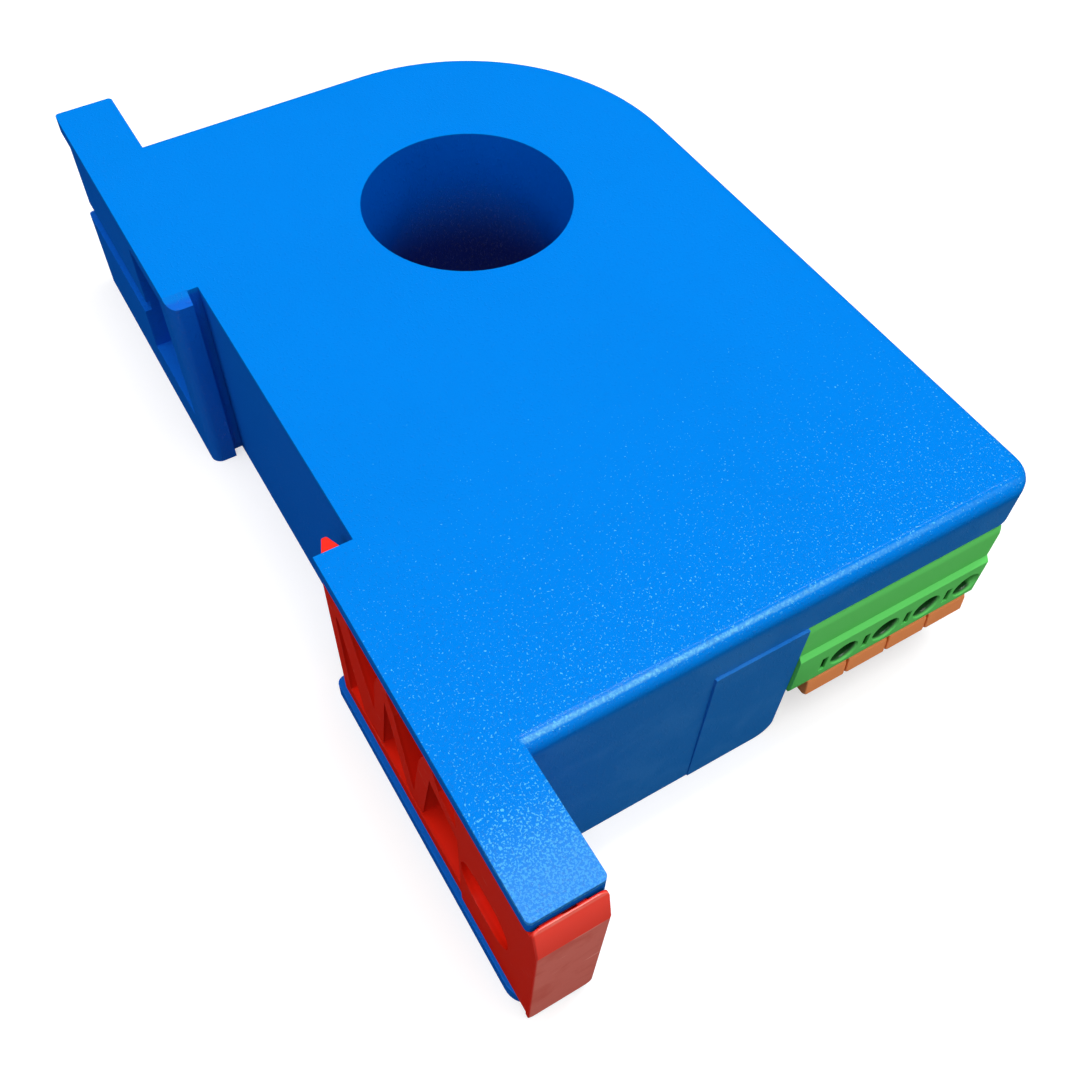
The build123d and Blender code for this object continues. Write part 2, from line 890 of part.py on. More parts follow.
def terminal_header():
    """The shrouded half of the connector: it stands on the board and opens into the plug pocket."""
    body = block(shroud_x0, shroud_x1, pocket_y, header_rear_y, board_top, shroud_top)
    body -= block(
        shroud_x0 + shroud_wall,
        shroud_x1 - shroud_wall,
        pocket_y - over,
        header_floor_y,
        contact_height - tongue_half_height - shroud_clearance,
        contact_height + tongue_half_height + shroud_clearance,
    )
    for index in range(poles):
        middle = pole_x(index)
        body -= block(
            middle - pin_size / 2,
            middle + pin_size / 2,
            header_floor_y - over,
            header_rear_y + over,
            contact_height - pin_size / 2,
            contact_height + pin_size / 2,
        )
    return body


def header_pin(index):
    """A square pin through the header's floor, bent down behind it and through the board."""
    middle = pole_x(index)
    half = pin_size / 2
    tail_y = header_rear_y + pin_size
    pin = block(
        middle - half,
        middle + half,
        header_floor_y - pin_reach,
        tail_y + pin_size,
        contact_height - half,
        contact_height + half,
    )
    tip = pin.edges().group_by(Axis.Y)[0]
    pin = chamfer(tip, 0.25 * pin_size)
    return pin + block(
        middle - half, middle + half, tail_y, tail_y + pin_size, board_bottom - pin_tail, contact_height
    )


def board_part(x, y, width, length, height):
    """A plain block that stands on the board."""
    return block(
        x - width / 2, x + width / 2, y - length / 2, y + length / 2, board_top, board_top + height
    )


def hall_leads():
    """The places of the three leads, in a row along the gap."""
    return [-core_middle_r + lead_pitch * step for step in (-1, 0, 1)]


def circuit_board():
    board = extrude(body_plan(wall + board_margin), board_thickness)
    board = Pos(0, 0, board_bottom) * board
    board -= block(rail_x, foot_x + board_margin, near_y, far_y, 0, reach)
    board -= block(rail_x, reach, near_y - over, pocket_back_y + 2 * seam, 0, reach)
    board -= upright(0, 0, 0, reach, tube_r + board_margin)
    for index in range(poles):
        middle = pole_x(index)
        tail_y = header_rear_y + 1.5 * pin_size
        board -= upright(middle, tail_y, 0, reach, 0.75 * pin_size)
    for y in hall_leads():
        board -= upright(0, y, 0, reach, 0.75 * lead_size)
    for x, y in holder_pegs():
        board -= upright(x, y, 0, reach, holder_peg_r + running_gap)
    return board


def holder_pegs():
    """Three pegs under the core holder, clear of the gap in the core."""
    turns = [radians(angle) for angle in (60, 180, 300)]
    return [(core_middle_r * cos(turn), core_middle_r * sin(turn)) for turn in turns]


def core_holder():
    """A ring tray that stands on the board and centres the core."""
    inner = core_inner_r - running_gap - holder_wall
    peg_bottom = board_bottom + holder_peg_setback
    peg_top = holder_bottom + holder_floor / 2
    tray = upright(0, 0, holder_bottom, holder_bottom + holder_skirt, holder_r)
    tray -= upright(0, 0, holder_bottom + holder_floor, reach, holder_r - holder_wall)
    tray += upright(0, 0, holder_bottom, core_middle_z, inner + holder_wall)
    tray -= upright(0, 0, 0, reach, inner)
    half = core_gap / 2
    tray -= block(-half, half, -core_outer_r, -core_inner_r, 0, core_bottom)
    for x, y in holder_pegs():
        tray += upright(x, y, peg_bottom, peg_top, holder_peg_r)
    return tray


def magnetic_core():
    ring = upright(0, 0, core_bottom, core_top, core_outer_r)
    ring -= upright(0, 0, 0, reach, core_inner_r)
    half = core_gap / 2
    ring -= block(-half, half, -core_outer_r - over, 0, 0, reach)
    return chamfer(ring.edges().group_by(Axis.Z)[-1].filter_by(GeomType.CIRCLE), core_edge)


def core_pad():
    """The soft ring that presses the core down."""
    pad_ring = upright(0, 0, core_top, inner_top, core_outer_r - pad_inset)
    return pad_ring - upright(0, 0, 0, reach, core_inner_r + pad_inset)


def hall_sensor():
    body = block(
        -hall_thickness / 2,
        hall_thickness / 2,
        -core_middle_r - hall_width / 2,
        -core_middle_r + hall_width / 2,
        core_middle_z - hall_height / 2,
        core_middle_z + hall_height / 2,
    )
    half = lead_size / 2
    for y in hall_leads():
        body += block(-half, half, y - half, y + half, board_bottom - lead_tail, core_middle_z)
    return body


def can_capacitor(x, y):
    """A round electrolytic can on its square base."""
    base_top = board_top + can_base_height
    base = board_part(x, y, can_base, can_base, can_base_height)
    base = chamfer(base.edges().filter_by(Axis.Z).group_by(Axis.Y)[0], can_base_chamfer)
    can = upright(x, y, board_top + can_base_height / 2, base_top + can_height, can_r)
    can = fillet(can.edges().group_by(Axis.Z)[-1], can_edge_r)
    return base + can


def wing_lead(x, y, side, height):
    """One bent lead on one side of a chip: out of the body, down, and out along the board."""
    knee = x + side * wing_reach / 2
    end = x + side * wing_reach
    middle_z = board_top + height / 2
    y0 = y - wing_width / 2
    y1 = y + wing_width / 2
    half = wing_sheet / 2
    root = x - side * wing_sheet
    back = knee - side * wing_sheet
    lead = block(min(root, knee), max(root, knee), y0, y1, middle_z - half, middle_z + half)
    lead += block(min(back, knee), max(back, knee), y0, y1, board_top, middle_z + half)
    return lead + block(min(back, end), max(back, end), y0, y1, board_top, board_top + wing_sheet)


def gull_wing_ic(x, y, width, length, height, leads, step):
    """A chip body on two rows of bent leads."""
    chip = board_part(x, y, width, length, height) - board_part(x, y, reach, reach, chip_lift)
    for index in range(leads):
        lead_y = y + step * (index - (leads - 1) / 2)
        for side in (-1, 1):
            chip += wing_lead(x + side * width / 2, lead_y, side, height)
    return chip


def chip_row(x, y, step, width, height):
    """A row of small parts as separate solids in one group."""
    places = [x + index * step for index in range(small_parts)]
    parts = [board_part(place, y, width, small_length, height) for place in places]
    return Compound(children=[Solid(part.solid().wrapped) for part in parts])


def save(node, shape):
    export_step(shape, "parts/" + node + ".step")


save("main_housing", main_housing())
save("rear_cover", rear_cover())
save("rail_latch", rail_latch())
save("plug_body", plug_body())
save("terminal_header", terminal_header())
for number in range(poles):
    name = str(number + 1)
    save("push_lever_" + name, push_lever(number))
    save("plug_contact_" + name, plug_contact(number))
    save("clamp_spring_" + name, clamp_spring(number))
    save("header_pin_" + name, header_pin(number))
save("circuit_board", circuit_board())
save("core_holder", core_holder())
save("magnetic_core", magnetic_core())
save("core_pad", core_pad())
save("hall_sensor", hall_sensor())
save("capacitor_1", can_capacitor(columns[0], core_row_y))
save("capacitor_2", can_capacitor(columns[1], header_row_y))
coil = board_part(columns[1], core_row_y, coil_size, coil_size, coil_height)
save("inductor", fillet(coil.edges().filter_by(Axis.Z), coil_corner_r))
chip = (chip_width, chip_length, chip_height, chip_lead_count, chip_pitch)
save("amplifier_ic", gull_wing_ic(columns[2], core_row_y, *chip))
save("regulator_ic", gull_wing_ic(columns[3], core_row_y, *chip))
controller = (
    controller_width, controller_length, controller_height, controller_lead_count, controller_pitch
)
save("controller_ic", gull_wing_ic(controller_x, header_row_y, *controller))
save("protection_diode", board_part(columns[4], core_row_y, diode_width, diode_length, diode_height))
save("chip_resistors", chip_row(resistor_x, resistor_y, resistor_step, resistor_width, resistor_height))
save("chip_capacitors", chip_row(ceramic_x, ceramic_y, ceramic_step, ceramic_width, ceramic_height))
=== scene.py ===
"""The looks of the current sensor: materials, mouldings with rounded edges, studio and camera."""

import json
import math

import bmesh
import bpy
from mathutils import Matrix, Vector

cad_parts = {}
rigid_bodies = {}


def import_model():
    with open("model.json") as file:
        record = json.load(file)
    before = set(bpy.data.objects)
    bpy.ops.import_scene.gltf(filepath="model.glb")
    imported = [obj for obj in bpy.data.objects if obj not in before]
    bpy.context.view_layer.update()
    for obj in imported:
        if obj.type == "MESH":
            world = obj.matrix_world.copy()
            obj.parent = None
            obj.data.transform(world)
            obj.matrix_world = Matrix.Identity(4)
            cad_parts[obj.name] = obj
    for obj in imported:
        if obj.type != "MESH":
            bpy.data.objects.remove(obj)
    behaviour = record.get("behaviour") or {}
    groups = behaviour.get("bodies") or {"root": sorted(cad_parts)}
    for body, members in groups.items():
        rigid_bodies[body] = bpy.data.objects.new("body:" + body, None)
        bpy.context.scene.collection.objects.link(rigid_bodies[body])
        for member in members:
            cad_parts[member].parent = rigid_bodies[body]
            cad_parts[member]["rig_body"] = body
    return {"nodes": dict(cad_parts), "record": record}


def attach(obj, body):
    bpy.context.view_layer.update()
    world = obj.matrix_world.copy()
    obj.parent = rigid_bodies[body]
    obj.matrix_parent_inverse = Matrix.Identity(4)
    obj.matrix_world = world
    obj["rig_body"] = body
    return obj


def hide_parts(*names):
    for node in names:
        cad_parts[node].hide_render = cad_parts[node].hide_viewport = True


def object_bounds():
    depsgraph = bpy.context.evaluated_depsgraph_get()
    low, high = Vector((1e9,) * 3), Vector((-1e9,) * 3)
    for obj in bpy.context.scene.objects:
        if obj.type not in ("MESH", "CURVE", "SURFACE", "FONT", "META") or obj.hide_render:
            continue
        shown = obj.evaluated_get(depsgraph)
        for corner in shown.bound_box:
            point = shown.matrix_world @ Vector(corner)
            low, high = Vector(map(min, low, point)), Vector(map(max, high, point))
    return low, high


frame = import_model()
cad_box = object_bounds()
NODES = frame["nodes"]
SLOTS = {row["node"]: row["material_slot"] for row in frame["record"]["subparts"]}
MM = 0.001


# ---------------------------------------------------------------- node helpers


def new_material(name):
    """A material with an empty node tree but for its Principled shader and output."""
    material = bpy.data.materials.new(name)
    material.use_nodes = True
    tree = material.node_tree
    tree.nodes.clear()
    output = tree.nodes.new("ShaderNodeOutputMaterial")
    shader = tree.nodes.new("ShaderNodeBsdfPrincipled")
    tree.links.new(shader.outputs["BSDF"], output.inputs["Surface"])
    return material, tree, shader


def feed(tree, socket, value):
    """Links an input to a socket, or sets it to a value of its own."""
    if isinstance(value, bpy.types.NodeSocket):
        tree.links.new(value, socket)
    else:
        socket.default_value = value


def add(tree, kind, settings=None, **inputs):
    """Adds one node, sets its properties, then feeds its inputs by name."""
    node = tree.nodes.new(kind)
    for key, value in (settings or {}).items():
        setattr(node, key, value)
    for key, value in inputs.items():
        feed(tree, node.inputs[key.replace("_", " ")], value)
    return node


def object_place(tree):
    """The place on the part in metres, in the frame that it shares with the CAD."""
    return tree.nodes.new("ShaderNodeTexCoord").outputs["Object"]


def maths(tree, operation, *operands):
    """One Math node; each operand is a number or a socket."""
    node = add(tree, "ShaderNodeMath", {"operation": operation})
    for socket, value in zip(node.inputs, operands):
        feed(tree, socket, value)
    return node.outputs[0]


def mask(tree, value, zero_at, one_at):
    """0 where the value is at zero_at, 1 where it is at one_at, and smooth between."""
    smooth = {"interpolation_type": "SMOOTHSTEP"}
    node = add(tree, "ShaderNodeMapRange", smooth, Value=value, From_Min=zero_at, From_Max=one_at)
    return node.outputs["Result"]


def both(tree, *masks):
    """The product of several masks."""
    result = masks[0]
    for other in masks[1:]:
        result = maths(tree, "MULTIPLY", result, other)
    return result


def within(tree, *spans):
    """A mask from the place on the part: the product of its spans' masks.

    A span is an axis, the millimetre where its mask is 0 and the one where it is 1.
    """
    masks = []
    for axis, zero_at, one_at in spans:
        split = add(tree, "ShaderNodeSeparateXYZ", Vector=object_place(tree))
        masks.append(mask(tree, split.outputs[axis], zero_at * MM, one_at * MM))
    return both(tree, *masks)


def mix_colours(tree, factor, first, second):
    """Two colours mixed by a factor; each colour is a triple or a socket."""
    node = add(tree, "ShaderNodeMix", {"data_type": "RGBA"})
    factor_input, first_input, second_input = node.inputs[0], node.inputs[6], node.inputs[7]
    tree.links.new(factor, factor_input)
    for socket, value in ((first_input, first), (second_input, second)):
        feed(tree, socket, value if isinstance(value, bpy.types.NodeSocket) else (*value, 1.0))
    return node.outputs[2]


def bump(tree, shader, height, strength, distance):
    """Feeds the shader's Normal from a height; the distance is in metres."""
    node = add(tree, "ShaderNodeBump", Height=height, Strength=strength, Distance=distance)
    tree.links.new(node.outputs["Normal"], shader.inputs["Normal"])


def group(name, inputs, outputs):
    """A node group with named float inputs (with defaults) and named outputs."""
    tree = bpy.data.node_groups.new(name, "ShaderNodeTree")
    for label, default in inputs:
        socket = tree.interface.new_socket(
            name=label, in_out="INPUT", socket_type="NodeSocketFloat"
        )
        socket.default_value = default
    for label in outputs:
        tree.interface.new_socket(name=label, in_out="OUTPUT", socket_type="NodeSocketFloat")
    start = tree.nodes.new("NodeGroupInput")
    end = tree.nodes.new("NodeGroupOutput")
    return tree, start, end


def place(tree, shared, **inputs):
    """One use of a shared group inside a material, with its own values."""
    return add(tree, "ShaderNodeGroup", {"node_tree": shared}, **inputs)


# ---------------------------------------------------------------- shared effects


def make_spark_grain():
    """The skin of a spark-eroded mould: sparse raised crests on a nearly flat ground."""
    full_crest = 0.7
    fine_to_coarse = 2.7
    ground_share = 0.2
    tree, start, end = group(
        "spark_grain", [("Pits per metre", 3200.0), ("Crest", 0.54)], ["Height", "Crests"]
    )
    here = object_place(tree)
    pits = start.outputs["Pits per metre"]
    coarse = add(tree, "ShaderNodeTexNoise", Vector=here, Scale=pits, Detail=3.0, Roughness=0.62)
    finer = maths(tree, "MULTIPLY", pits, fine_to_coarse)
    fine = add(tree, "ShaderNodeTexNoise", Vector=here, Scale=finer, Detail=1.0, Roughness=0.5)
    crests = mask(tree, coarse.outputs[0], start.outputs["Crest"], full_crest)
    ground = maths(tree, "MULTIPLY", fine.outputs[0], ground_share)
    tree.links.new(maths(tree, "ADD", crests, ground), end.inputs["Height"])
    tree.links.new(crests, end.inputs["Crests"])
    return tree


def make_handling():
    """Faint smudges and hairline rubs: two masks that change the finish slightly."""
    hairline_turn = (0.3, 0.5, 0.7)
    hairline_stretch = (0.22, 1.0, 1.6)
    tree, start, end = group(
        "handling", [("Smudges per metre", 60.0), ("Rubs per metre", 420.0)], ["Smudge", "Rub"]
    )
    here = object_place(tree)
    cloud = add(
        tree,
        "ShaderNodeTexNoise",
        Vector=here,
        Scale=start.outputs["Smudges per metre"],
        Detail=4.0,
        Roughness=0.6,
        Distortion=0.4,
    )
    stretched = add(
        tree, "ShaderNodeMapping", Vector=here, Rotation=hairline_turn, Scale=hairline_stretch
    )
    streak = add(
        tree,
        "ShaderNodeTexNoise",
        Vector=stretched.outputs[0],
        Scale=start.outputs["Rubs per metre"],
        Detail=2.0,
        Roughness=0.7,
    )
    tree.links.new(mask(tree, cloud.outputs[0], 0.42, 0.68), end.inputs["Smudge"])
    tree.links.new(mask(tree, streak.outputs[0], 0.66, 0.74), end.inputs["Rub"])
    return tree


def make_painted_glints():
    """Painted highlights: sparse pale flecks standing for glints of the grain, crowding together
    as Crowding rises.
    """
    sparse_threshold = 0.75
    threshold_per_crowding = -0.14
    glint_rise = 0.10
    tree, start, end = group(
        "painted_glints", [("Tips per metre", 5200.0), ("Crowding", 0.0)], ["Flecks"]
    )
    tips = add(
        tree,
        "ShaderNodeTexNoise",
        Vector=object_place(tree),
        Scale=start.outputs["Tips per metre"],
        Detail=2.0,
        Roughness=0.55,
        Distortion=0.6,
    )
    crowding = start.outputs["Crowding"]
    threshold = maths(tree, "MULTIPLY_ADD", crowding, threshold_per_crowding, sparse_threshold)
    above = maths(tree, "SUBTRACT", tips.outputs[0], threshold)
    tree.links.new(mask(tree, above, 0.0, glint_rise), end.inputs["Flecks"])
    return tree


SPARK_GRAIN = make_spark_grain()
HANDLING = make_handling()
PAINTED_GLINTS = make_painted_glints()


# ---------------------------------------------------------------- materials


def plastic(name, color, pale, roughness, gloss, pits, depth, glint, rub=0.3, mirror=0.24):
    """Moulded plastic: a pitted skin whose crests glint, a coat of gloss, and marks of use.

    color is the plastic, pale its rubs, pits their number per metre and depth their depth in mm.
    gloss is the coat's weight where it is faced, glint what a crest adds to it, rub the strength
    of the rubs and mirror the coat's roughness.
    """
    smudge_mixes = 0.35
    smudge_shade = [0.95 * part for part in color]
    smudge_roughens = 0.04
    facing_power = 2.0
    material, tree, shader = new_material(name)
    grain = place(tree, SPARK_GRAIN, Pits_per_metre=pits)
    marks = place(tree, HANDLING)
    smudge = marks.outputs["Smudge"]
    shade = mix_colours(tree, maths(tree, "MULTIPLY", smudge, smudge_mixes), color, smudge_shade)
    rubbed = maths(tree, "MULTIPLY", marks.outputs["Rub"], rub)
    shade = mix_colours(tree, rubbed, shade, pale)
    tree.links.new(shade, shader.inputs["Base Color"])
    rough = maths(tree, "MULTIPLY_ADD", smudge, smudge_roughens, roughness)
    tree.links.new(rough, shader.inputs["Roughness"])
    bump(tree, shader, grain.outputs["Height"], 1.0, depth * MM)
    away = tree.nodes.new("ShaderNodeLayerWeight").outputs["Facing"]
    faced = maths(tree, "POWER", maths(tree, "SUBTRACT", 1.0, away), facing_power)
    skin = maths(tree, "MULTIPLY_ADD", grain.outputs["Crests"], glint, gloss)
    tree.links.new(maths(tree, "MULTIPLY", skin, faced), shader.inputs["Coat Weight"])
    shader.inputs["Coat Roughness"].default_value = mirror
    shader.inputs["Specular IOR Level"].default_value = 0.0
    return material


def metal(name, color, roughness):
    """Bright or tinned metal with a fine drawn grain."""
    smudge_roughens = 0.12
    grain_strength = 0.4
    grain_depth = 0.01 * MM
    material, tree, shader = new_material(name)
    marks = place(tree, HANDLING, Smudges_per_metre=400.0, Rubs_per_metre=2500.0)
    shader.inputs["Base Color"].default_value = (*color, 1.0)
    shader.inputs["Metallic"].default_value = 1.0
    rough = maths(tree, "MULTIPLY_ADD", marks.outputs["Smudge"], smudge_roughens, roughness)
    tree.links.new(rough, shader.inputs["Roughness"])
    bump(tree, shader, marks.outputs["Rub"], grain_strength, grain_depth)
    return material


# Pits per metre of a fine and a middling skin
FINE = 6400.0
MIDDLE = 4200.0
PLASTICS = {
    "blue_plastic": dict(
        color=(0.0, 0.174, 0.64), pale=(0.01, 0.2, 0.66), roughness=0.5, gloss=0.09,
        pits=3400.0, depth=0.03, glint=0.25, rub=0.04, mirror=0.14,
    ),
    "red_plastic": dict(
        color=(0.72, 0.014, 0.004), pale=(0.72, 0.1, 0.07), roughness=0.4, gloss=0.7,
        pits=FINE, depth=0.004, glint=0.2, rub=0.3, mirror=0.2,
    ),
    "green_plastic": dict(
        color=(0.14, 0.765, 0.15), pale=(0.22, 0.84, 0.22), roughness=0.4, gloss=0.6,
        pits=FINE, depth=0.004, glint=0.1,
    ),
    "orange_plastic": dict(
        color=(0.98, 0.31, 0.085), pale=(0.98, 0.38, 0.14), roughness=0.4, gloss=1.0,
        pits=FINE, depth=0.004, glint=0.1,
    ),
    "natural_plastic": dict(
        color=(0.62, 0.59, 0.5), pale=(0.7, 0.66, 0.56), roughness=0.45, gloss=0.5,
        pits=FINE, depth=0.003, glint=0.0,
    ),
    "board_laminate": dict(
        color=(0.02, 0.14, 0.05), pale=(0.03, 0.17, 0.06), roughness=0.3, gloss=0.9,
        pits=1800.0, depth=0.003, glint=0.0,
    ),
    "foam_rubber": dict(
        color=(0.03, 0.03, 0.03), pale=(0.05, 0.05, 0.05), roughness=0.9, gloss=0.1,
        pits=2600.0, depth=0.06, glint=0.0,
    ),
    "core_ferrite": dict(
        color=(0.05, 0.05, 0.055), pale=(0.06, 0.06, 0.06), roughness=0.55, gloss=0.7,
        pits=MIDDLE, depth=0.01, glint=0.1,
    ),
    "chip_moulding": dict(
        color=(0.02, 0.02, 0.02), pale=(0.03, 0.03, 0.03), roughness=0.5, gloss=0.5,
        pits=MIDDLE, depth=0.006, glint=0.0,
    ),
    "chip_ceramic": dict(
        color=(0.42, 0.3, 0.18), pale=(0.45, 0.33, 0.2), roughness=0.4, gloss=0.8,
        pits=MIDDLE, depth=0.003, glint=0.0,
    ),
}
METALS = {
    "core_steel": dict(color=(0.42, 0.43, 0.45), roughness=0.38),
    "tinned_brass": dict(color=(0.78, 0.77, 0.74), roughness=0.25),
    "spring_steel": dict(color=(0.68, 0.68, 0.68), roughness=0.2),
    "can_aluminium": dict(color=(0.82, 0.82, 0.82), roughness=0.3),
}
MATERIALS = {name: plastic(name, **row) for name, row in PLASTICS.items()}
MATERIALS.update({name: metal(name, **row) for name, row in METALS.items()})


# ---------------------------------------------------------------- marks, painted light and painted shade on the mouldings

# Spans on the case, and its blues: painted shade and light on its walls, a painted sheen near the
# tip, painted glints and a painted highlight line on its top
TOP_SKIN = ("Z", 24.3, 24.7)
SHADED_RAIL_SIDE = (("Z", 24.7, 24.3), ("X", -27.0, -28.5))
LIT_NEAR_WALL = (("Z", 23.8, 22.6), ("Y", -54.0, -57.0), ("X", -34.1, -33.9))
NEAR_TIP_SHEEN = (("Y", -62.0, -70.0), ("Z", 24.4, 24.8))
GLINTS_CROWD = ("Y", -10.0, -60.0)
GLINTS_CROWD_MORE = ("Y", -59.0, -70.0)
HIGHLIGHT_LINE = (
    ("Y", -58.98, -58.76), ("Y", -58.38, -58.60), ("X", -27.8, -27.2), ("X", 34.0, -20.0)
)
RAIL_SIDE_SHADE_BLUE = (0.004, 0.125, 0.61)
LIT_WALL_BLUE = (0.016, 0.190, 0.60)
SMEARED_LIT_WALL_BLUE = (0.040, 0.245, 0.66)
TIP_SHEEN_BLUE = (0.045, 0.235, 0.66)
GLINT_BLUE = (0.10, 0.48, 0.74)
HIGHLIGHT_LINE_BLUE = (0.16, 0.50, 0.74)

# The aperture's wall, painted in shade that darkens with depth: radii in mm where its mask is 0
# and 1, then spans for its rim and depth
APERTURE_RADII = (11.75, 11.65)
BELOW_RIM = ("Z", 24.97, 24.85)
DEEP_DOWN = ("Z", 20.0, 8.0)
SHALLOW_SHADE_BLUE = (0.0, 0.112, 0.62)
DEEP_SHADE_BLUE = (0.0, 0.012, 0.17)

# Spans on the latch, and its reds, most of them painted light: its thumb end is paler below the
# chamfer, partly worn and partly painted sheen, and the chamfer above is painted brighter
THUMB_END = (("Y", -71.25, -71.5), ("X", -34.15, -33.9))
WORN_SHEEN_FROM = 19.6
WORN_SHEEN_BLEND = 0.15
WORN_AND_SHEEN = ("Z", WORN_SHEEN_FROM + WORN_SHEEN_BLEND, WORN_SHEEN_FROM - WORN_SHEEN_BLEND)
CHAMFER = ("Z", WORN_SHEEN_FROM - WORN_SHEEN_BLEND, WORN_SHEEN_FROM + WORN_SHEEN_BLEND)
RIM_HIGHLIGHT = ("Z", 23.35, 23.6)
WINDOWS = (("X", -33.95, -33.6), ("Y", -70.9, -70.4))
LIT_CHAMFER_RED = (0.95, 0.05, 0.028)
WORN_SHEEN_RED = (0.86, 0.20, 0.155)
SMUDGED_RED = (0.78, 0.15, 0.11)
RUBBED_RED = (0.95, 0.32, 0.26)
RIM_HIGHLIGHT_RED = (0.98, 0.36, 0.28)
WINDOW_BOUNCE_RED = (0.80, 0.014, 0.004)
PAINTED_GLOW_RED = (0.15, 0.009, 0.0045)
NO_GLOW = (0.0, 0.0, 0.0)

# Spans on the plug: the wire entries and test slots, behind their rims, where shade is painted
ENTRIES = (
    ("Y", -59.97, -59.7), ("Z", 8.9, 9.3), ("Z", 12.7, 12.3), ("X", 1.8, 2.2), ("X", 23.6, 23.2)
)
ENTRY_SHADE_GREEN = (0.012, 0.085, 0.016)


def base_of(material):
    """A material's tree, its Principled shader and the socket that feeds its Base Color."""
    tree = material.node_tree
    shader = next(node for node in tree.nodes if node.type == "BSDF_PRINCIPLED")
    return tree, shader, shader.inputs["Base Color"].links[0].from_socket


def aperture_depth(tree):
    """The aperture's wall, and how deep a place on it is: little light reaches down there."""
    flat = add(tree, "ShaderNodeVectorMath", {"operation": "MULTIPLY"})
    tree.links.new(object_place(tree), flat.inputs[0])
    flat.inputs[1].default_value = (1.0, 1.0, 0.0)
    radius = add(tree, "ShaderNodeVectorMath", {"operation": "LENGTH"})
    tree.links.new(flat.outputs[0], radius.inputs[0])
    outer, inner = (size * MM for size in APERTURE_RADII)
    wall = mask(tree, radius.outputs["Value"], outer, inner)
    return both(tree, wall, within(tree, BELOW_RIM)), within(tree, DEEP_DOWN)


def finish_case(material):
    """The case: painted shade and light on its walls, painted glints crowding towards the near
    end, a painted sheen at the near tip, a painted highlight line along its front edge and painted
    shade in the aperture.
    """
    smear_share = 0.4
    tip_sheen = 0.5
    glint_share, tip_adds = 0.85, -0.52
    edge_share, crest_adds = 0.35, 0.6
    tree, shader, shade = base_of(material)
    # Painted shade: the walls below the top on the rail side are painted a darker blue.
    shade = mix_colours(tree, within(tree, *SHADED_RAIL_SIDE), shade, RAIL_SIDE_SHADE_BLUE)
    # Painted light: the near wall is painted a paler blue, streaked by real smudges.
    smears = place(tree, HANDLING, Smudges_per_metre=170.0)
    streaky = maths(tree, "MULTIPLY", smears.outputs["Smudge"], smear_share)
    lit_wall = mix_colours(tree, streaky, LIT_WALL_BLUE, SMEARED_LIT_WALL_BLUE)
    shade = mix_colours(tree, within(tree, *LIT_NEAR_WALL), shade, lit_wall)

    # Painted sheen: the top near the foot tip is painted paler, as a haze of reflected light.
    tip = within(tree, *NEAR_TIP_SHEEN)
    shade = mix_colours(tree, maths(tree, "MULTIPLY", tip, tip_sheen), shade, TIP_SHEEN_BLUE)
    # Painted highlights: pale flecks on the top stand for glints, crowding towards the near end.
    crowding = maths(tree, "ADD", within(tree, GLINTS_CROWD), within(tree, GLINTS_CROWD_MORE))
    glint_flecks = place(tree, PAINTED_GLINTS, Crowding=crowding).outputs["Flecks"]
    strength = maths(tree, "MULTIPLY_ADD", tip, tip_adds, glint_share)
    glint_flecks = both(tree, glint_flecks, within(tree, TOP_SKIN), strength)
    shade = mix_colours(tree, glint_flecks, shade, GLINT_BLUE)

    # Painted highlight: a pale grainy line along the upper part of the front top edge's rounding.
    grain = place(tree, SPARK_GRAIN, Pits_per_metre=MIDDLE, Crest=0.42)
    grainy = maths(tree, "MULTIPLY_ADD", grain.outputs["Crests"], crest_adds, edge_share)
    shade = mix_colours(tree, both(tree, within(tree, *HIGHLIGHT_LINE), grainy), shade, HIGHLIGHT_LINE_BLUE)

    # Painted shade: the aperture's wall is painted darker the deeper it goes.
    aperture, depth = aperture_depth(tree)
    aperture_shade = mix_colours(tree, depth, SHALLOW_SHADE_BLUE, DEEP_SHADE_BLUE)
    shade = mix_colours(tree, aperture, shade, aperture_shade)
    tree.links.new(shade, shader.inputs["Base Color"])


